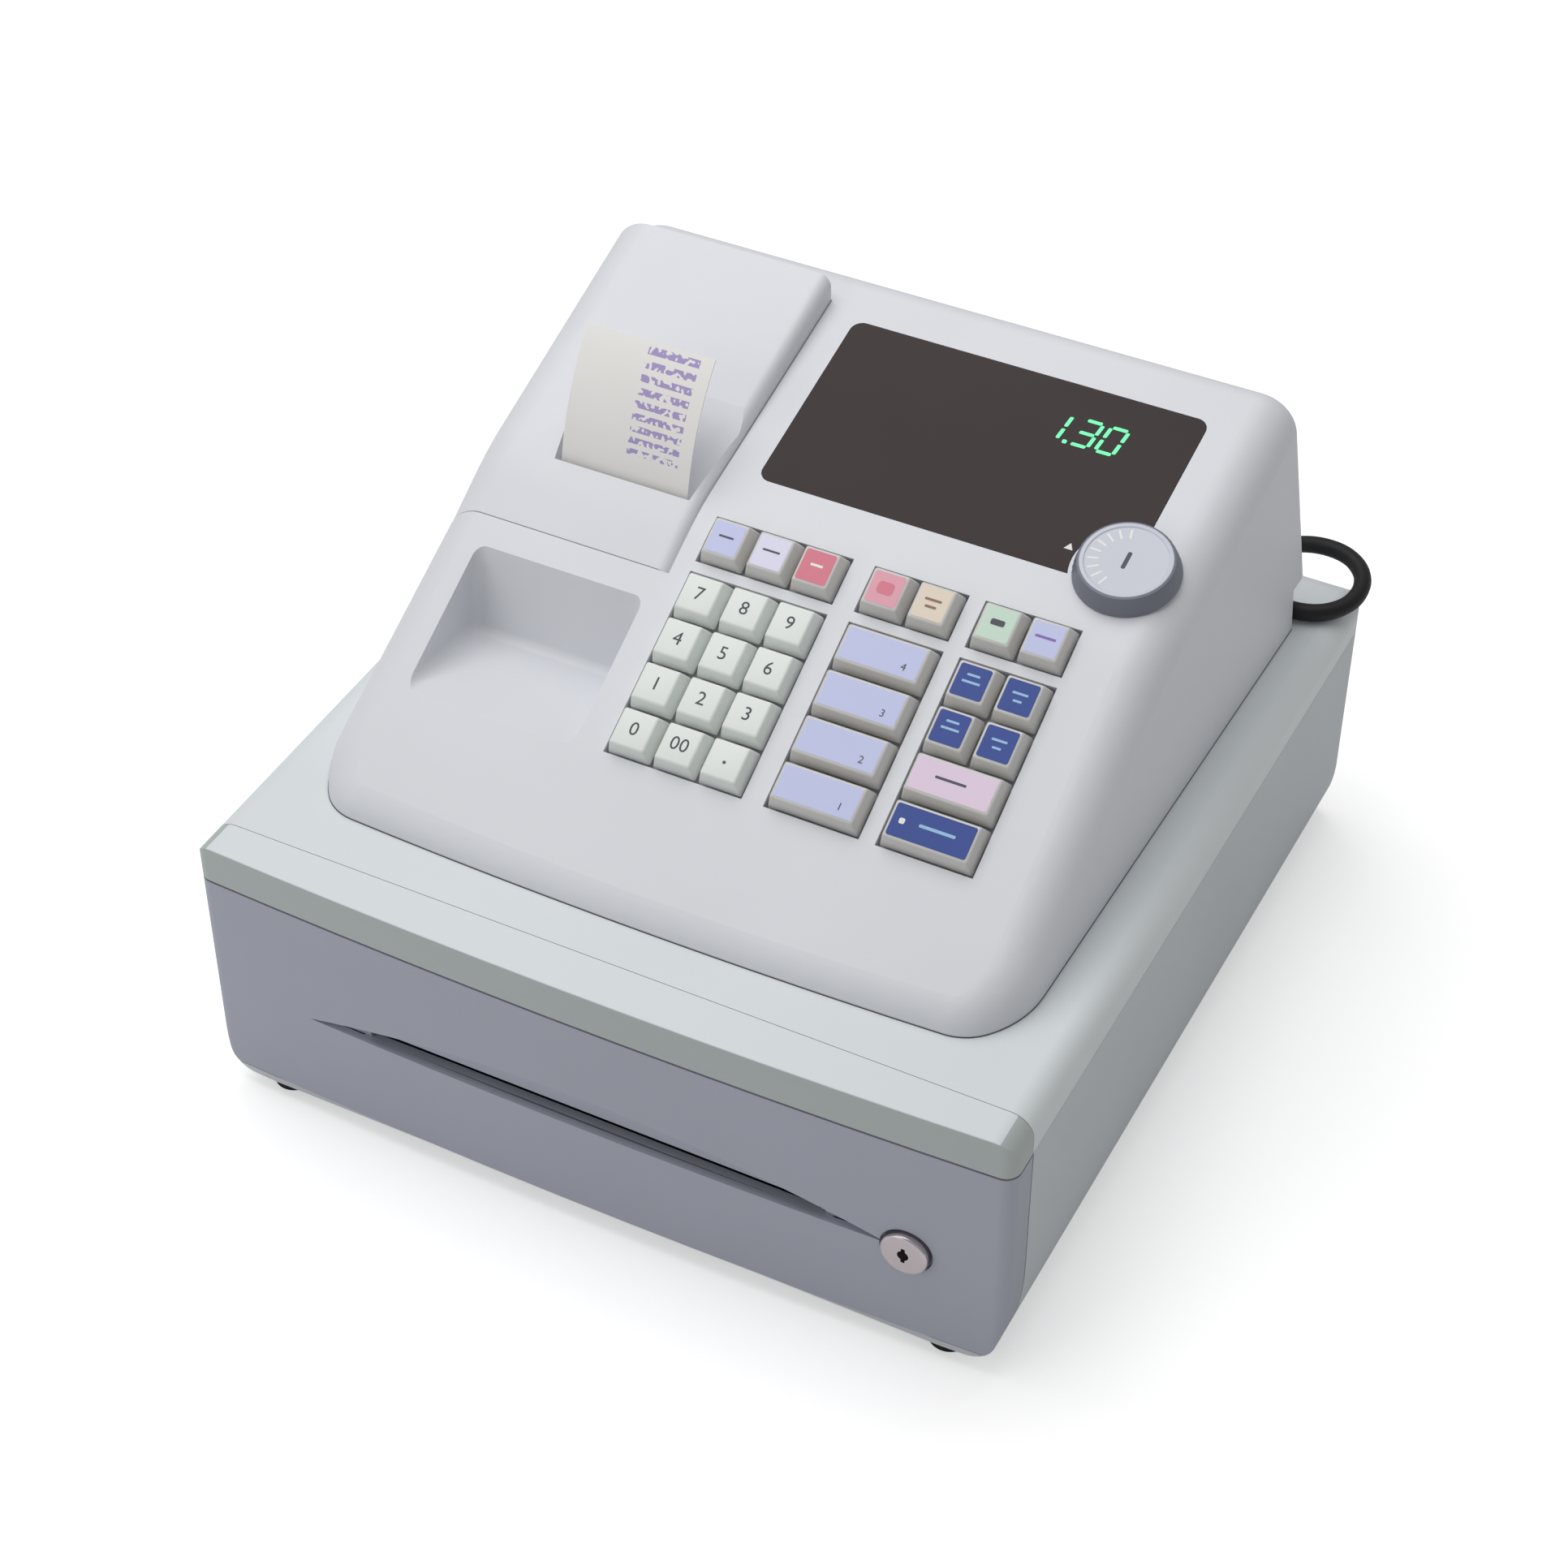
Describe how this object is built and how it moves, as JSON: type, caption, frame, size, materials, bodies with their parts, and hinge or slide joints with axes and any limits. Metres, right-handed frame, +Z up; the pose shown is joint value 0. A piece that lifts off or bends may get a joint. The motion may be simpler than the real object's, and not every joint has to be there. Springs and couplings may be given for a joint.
{
  "type": "ticket register",
  "caption": "Compact counter till: sloped keyboard head with smoked display window, mode dial and receipt printer on a cash drawer unit.",
  "frame": {"origin": "on the counter, below the middle of the drawer unit", "axes": "+Z up, -Y towards the cashier who faces the keys, +X to the cashier's right"},
  "size_m": [0.338, 0.4612, 0.2473],
  "materials": {
    "case_plastic": "satin moulded, pale grey",
    "trim_plastic": "satin moulded, grey green",
    "foot_rubber": "matte",
    "drawer_plastic": "satin moulded, lavender grey",
    "box_plastic": "fine texture, dark grey",
    "tray_plastic": "fine texture, dark grey",
    "spring_steel": "bright",
    "lock_metal": "satin nickel",
    "zinc_steel": "zinc plated",
    "head_plastic": "satin moulded, off white",
    "paper": "uncoated",
    "roller_rubber": "smooth",
    "core_steel": "varnished laminations",
    "board": "coated board",
    "smoked_window": "deep tinted gloss",
    "display_body": "dark glass",
    "dial_plastic": "satin moulded, lavender grey",
    "cord_rubber": "smooth",
    "key_white": "satin moulded, off white",
    "key_clear": "clear cap over a tinted label",
    "key_blue": "clear cap over a dark blue label",
    "key_pink": "clear cap over a pale pink label"
  },
  "bodies": {
    "case": {"lower_base": "case_plastic", "lower_cover": "case_plastic", "front_trim": "trim_plastic", "rubber_feet": "foot_rubber", "kick_spring": "spring_steel", "latch_solenoid": "zinc_steel", "head_case": "head_plastic", "printer_frame": "zinc_steel", "transformer": "core_steel", "main_board": "board", "display_windows": "smoked_window", "display_tubes": "display_body", "cord_gland": "cord_rubber", "power_cord": "cord_rubber", "cord_coil": "cord_rubber", "power_plug": "cord_rubber"},
    "drawer": {"drawer_front": "drawer_plastic", "drawer_box": "box_plastic", "coin_tray": "tray_plastic", "latch_striker": "zinc_steel"},
    "cover": {"printer_cover": "head_plastic", "receipt_paper": "paper"},
    "dial": {"mode_dial": "dial_plastic"},
    "lock": {"drawer_lock": "lock_metal"},
    "clip_1": {"note_clip_1": "spring_steel"},
    "clip_2": {"note_clip_2": "spring_steel"},
    "clip_3": {"note_clip_3": "spring_steel"},
    "latch": {"drawer_latch": "zinc_steel"},
    "platen": {"platen_roller": "roller_rubber"},
    "ink": {"ink_roller": "roller_rubber"},
    "roll": {"paper_roll": "paper"},
    "key_7": {"key_7": "key_white"},
    "key_8": {"key_8": "key_white"},
    "key_9": {"key_9": "key_white"},
    "key_4": {"key_4": "key_white"},
    "key_5": {"key_5": "key_white"},
    "key_6": {"key_6": "key_white"},
    "key_1": {"key_1": "key_white"},
    "key_2": {"key_2": "key_white"},
    "key_3": {"key_3": "key_white"},
    "key_0": {"key_0": "key_white"},
    "key_00": {"key_00": "key_white"},
    "key_point": {"key_point": "key_white"},
    "key_section_4": {"key_section_4": "key_clear"},
    "key_section_3": {"key_section_3": "key_clear"},
    "key_section_2": {"key_section_2": "key_clear"},
    "key_section_1": {"key_section_1": "key_clear"},
    "key_payment_1": {"key_payment_1": "key_blue"},
    "key_payment_2": {"key_payment_2": "key_blue"},
    "key_payment_3": {"key_payment_3": "key_blue"},
    "key_payment_4": {"key_payment_4": "key_blue"},
    "key_subtotal": {"key_subtotal": "key_pink"},
    "key_total": {"key_total": "key_blue"},
    "key_function_1": {"key_function_1": "key_clear"},
    "key_function_2": {"key_function_2": "key_clear"},
    "key_function_3": {"key_function_3": "key_clear"},
    "key_function_4": {"key_function_4": "key_clear"},
    "key_function_5": {"key_function_5": "key_clear"},
    "key_function_6": {"key_function_6": "key_clear"},
    "key_function_7": {"key_function_7": "key_clear"}
  },
  "joints": [
    {"name": "drawer_slide", "type": "slide", "parent": "case", "child": "drawer", "axis": [0, -1, 0], "range_m": [0, 0.2]},
    {"name": "cover_lift", "type": "slide", "parent": "case", "child": "cover", "axis": [0, 0, 1], "range_m": [0, 0.04]},
    {"name": "dial_turn", "type": "hinge", "parent": "case", "child": "dial", "pos_m": [0.114, 0.031, 0.206], "axis": [0, -0.2504, 0.9681], "range_deg": [-60, 120]},
    {"name": "lock_turn", "type": "hinge", "parent": "drawer", "child": "lock", "pos_m": [0.1268, -0.165, 0.0512], "axis": [0, 1, 0], "range_deg": [0, 90]},
    {"name": "clip_1_lift", "type": "hinge", "parent": "drawer", "child": "clip_1", "pos_m": [-0.09183, 0.091, 0.0728], "axis": [-1, 0, 0], "range_deg": [0, 38], "stiffness_Nm_per_rad": 0.02, "springref_deg": -20.05},
    {"name": "clip_2_lift", "type": "hinge", "parent": "drawer", "child": "clip_2", "pos_m": [0, 0.091, 0.0728], "axis": [-1, 0, 0], "range_deg": [0, 38], "stiffness_Nm_per_rad": 0.02, "springref_deg": -20.05},
    {"name": "clip_3_lift", "type": "hinge", "parent": "drawer", "child": "clip_3", "pos_m": [0.09183, 0.091, 0.0728], "axis": [-1, 0, 0], "range_deg": [0, 38], "stiffness_Nm_per_rad": 0.02, "springref_deg": -20.05},
    {"name": "latch_drop", "type": "hinge", "parent": "case", "child": "latch", "pos_m": [0, 0.15, 0.052], "axis": [1, 0, 0], "range_deg": [0, 8], "stiffness_Nm_per_rad": 0.02, "springref_deg": -45.84},
    {"name": "platen_spin", "type": "hinge", "parent": "case", "child": "platen", "pos_m": [-0.07925, 0.002, 0.17], "axis": [1, 0, 0], "continuous": true},
    {"name": "ink_spin", "type": "hinge", "parent": "case", "child": "ink", "pos_m": [-0.07925, -0.0115, 0.166], "axis": [1, 0, 0], "continuous": true},
    {"name": "roll_spin", "type": "hinge", "parent": "case", "child": "roll", "pos_m": [-0.07925, 0.078, 0.168], "axis": [1, 0, 0], "continuous": true},
    {"name": "key_7_press", "type": "slide", "parent": "case", "child": "key_7", "axis": [0, 0.4695, -0.8829], "range_m": [0, 0.0035], "stiffness_N_per_m": 150, "springref_m": -0.002},
    {"name": "key_8_press", "type": "slide", "parent": "case", "child": "key_8", "axis": [0, 0.4695, -0.8829], "range_m": [0, 0.0035], "stiffness_N_per_m": 150, "springref_m": -0.002},
    {"name": "key_9_press", "type": "slide", "parent": "case", "child": "key_9", "axis": [0, 0.4695, -0.8829], "range_m": [0, 0.0035], "stiffness_N_per_m": 150, "springref_m": -0.002},
    {"name": "key_4_press", "type": "slide", "parent": "case", "child": "key_4", "axis": [0, 0.4695, -0.8829], "range_m": [0, 0.0035], "stiffness_N_per_m": 150, "springref_m": -0.002},
    {"name": "key_5_press", "type": "slide", "parent": "case", "child": "key_5", "axis": [0, 0.4695, -0.8829], "range_m": [0, 0.0035], "stiffness_N_per_m": 150, "springref_m": -0.002},
    {"name": "key_6_press", "type": "slide", "parent": "case", "child": "key_6", "axis": [0, 0.4695, -0.8829], "range_m": [0, 0.0035], "stiffness_N_per_m": 150, "springref_m": -0.002},
    {"name": "key_1_press", "type": "slide", "parent": "case", "child": "key_1", "axis": [0, 0.4695, -0.8829], "range_m": [0, 0.0035], "stiffness_N_per_m": 150, "springref_m": -0.002},
    {"name": "key_2_press", "type": "slide", "parent": "case", "child": "key_2", "axis": [0, 0.4695, -0.8829], "range_m": [0, 0.0035], "stiffness_N_per_m": 150, "springref_m": -0.002},
    {"name": "key_3_press", "type": "slide", "parent": "case", "child": "key_3", "axis": [0, 0.4695, -0.8829], "range_m": [0, 0.0035], "stiffness_N_per_m": 150, "springref_m": -0.002},
    {"name": "key_0_press", "type": "slide", "parent": "case", "child": "key_0", "axis": [0, 0.4695, -0.8829], "range_m": [0, 0.0035], "stiffness_N_per_m": 150, "springref_m": -0.002},
    {"name": "key_00_press", "type": "slide", "parent": "case", "child": "key_00", "axis": [0, 0.4695, -0.8829], "range_m": [0, 0.0035], "stiffness_N_per_m": 150, "springref_m": -0.002},
    {"name": "key_point_press", "type": "slide", "parent": "case", "child": "key_point", "axis": [0, 0.4695, -0.8829], "range_m": [0, 0.0035], "stiffness_N_per_m": 150, "springref_m": -0.002},
    {"name": "key_section_4_press", "type": "slide", "parent": "case", "child": "key_section_4", "axis": [0, 0.4695, -0.8829], "range_m": [0, 0.0035], "stiffness_N_per_m": 150, "springref_m": -0.002},
    {"name": "key_section_3_press", "type": "slide", "parent": "case", "child": "key_section_3", "axis": [0, 0.4695, -0.8829], "range_m": [0, 0.0035], "stiffness_N_per_m": 150, "springref_m": -0.002},
    {"name": "key_section_2_press", "type": "slide", "parent": "case", "child": "key_section_2", "axis": [0, 0.4695, -0.8829], "range_m": [0, 0.0035], "stiffness_N_per_m": 150, "springref_m": -0.002},
    {"name": "key_section_1_press", "type": "slide", "parent": "case", "child": "key_section_1", "axis": [0, 0.4695, -0.8829], "range_m": [0, 0.0035], "stiffness_N_per_m": 150, "springref_m": -0.002},
    {"name": "key_payment_1_press", "type": "slide", "parent": "case", "child": "key_payment_1", "axis": [0, 0.4695, -0.8829], "range_m": [0, 0.0035], "stiffness_N_per_m": 150, "springref_m": -0.002},
    {"name": "key_payment_2_press", "type": "slide", "parent": "case", "child": "key_payment_2", "axis": [0, 0.4695, -0.8829], "range_m": [0, 0.0035], "stiffness_N_per_m": 150, "springref_m": -0.002},
    {"name": "key_payment_3_press", "type": "slide", "parent": "case", "child": "key_payment_3", "axis": [0, 0.4695, -0.8829], "range_m": [0, 0.0035], "stiffness_N_per_m": 150, "springref_m": -0.002},
    {"name": "key_payment_4_press", "type": "slide", "parent": "case", "child": "key_payment_4", "axis": [0, 0.4695, -0.8829], "range_m": [0, 0.0035], "stiffness_N_per_m": 150, "springref_m": -0.002},
    {"name": "key_subtotal_press", "type": "slide", "parent": "case", "child": "key_subtotal", "axis": [0, 0.4695, -0.8829], "range_m": [0, 0.0035], "stiffness_N_per_m": 150, "springref_m": -0.002},
    {"name": "key_total_press", "type": "slide", "parent": "case", "child": "key_total", "axis": [0, 0.4695, -0.8829], "range_m": [0, 0.0035], "stiffness_N_per_m": 150, "springref_m": -0.002},
    {"name": "key_function_1_press", "type": "slide", "parent": "case", "child": "key_function_1", "axis": [0, 0.4695, -0.8829], "range_m": [0, 0.0035], "stiffness_N_per_m": 150, "springref_m": -0.002},
    {"name": "key_function_2_press", "type": "slide", "parent": "case", "child": "key_function_2", "axis": [0, 0.4695, -0.8829], "range_m": [0, 0.0035], "stiffness_N_per_m": 150, "springref_m": -0.002},
    {"name": "key_function_3_press", "type": "slide", "parent": "case", "child": "key_function_3", "axis": [0, 0.4695, -0.8829], "range_m": [0, 0.0035], "stiffness_N_per_m": 150, "springref_m": -0.002},
    {"name": "key_function_4_press", "type": "slide", "parent": "case", "child": "key_function_4", "axis": [0, 0.4695, -0.8829], "range_m": [0, 0.0035], "stiffness_N_per_m": 150, "springref_m": -0.002},
    {"name": "key_function_5_press", "type": "slide", "parent": "case", "child": "key_function_5", "axis": [0, 0.4695, -0.8829], "range_m": [0, 0.0035], "stiffness_N_per_m": 150, "springref_m": -0.002},
    {"name": "key_function_6_press", "type": "slide", "parent": "case", "child": "key_function_6", "axis": [0, 0.4695, -0.8829], "range_m": [0, 0.0035], "stiffness_N_per_m": 150, "springref_m": -0.002},
    {"name": "key_function_7_press", "type": "slide", "parent": "case", "child": "key_function_7", "axis": [0, 0.4695, -0.8829], "range_m": [0, 0.0035], "stiffness_N_per_m": 150, "springref_m": -0.002}
  ],
  "couplings": [
    {"joint": "ink_spin", "follows": "platen_spin", "ratio": -0.8}
  ]
}
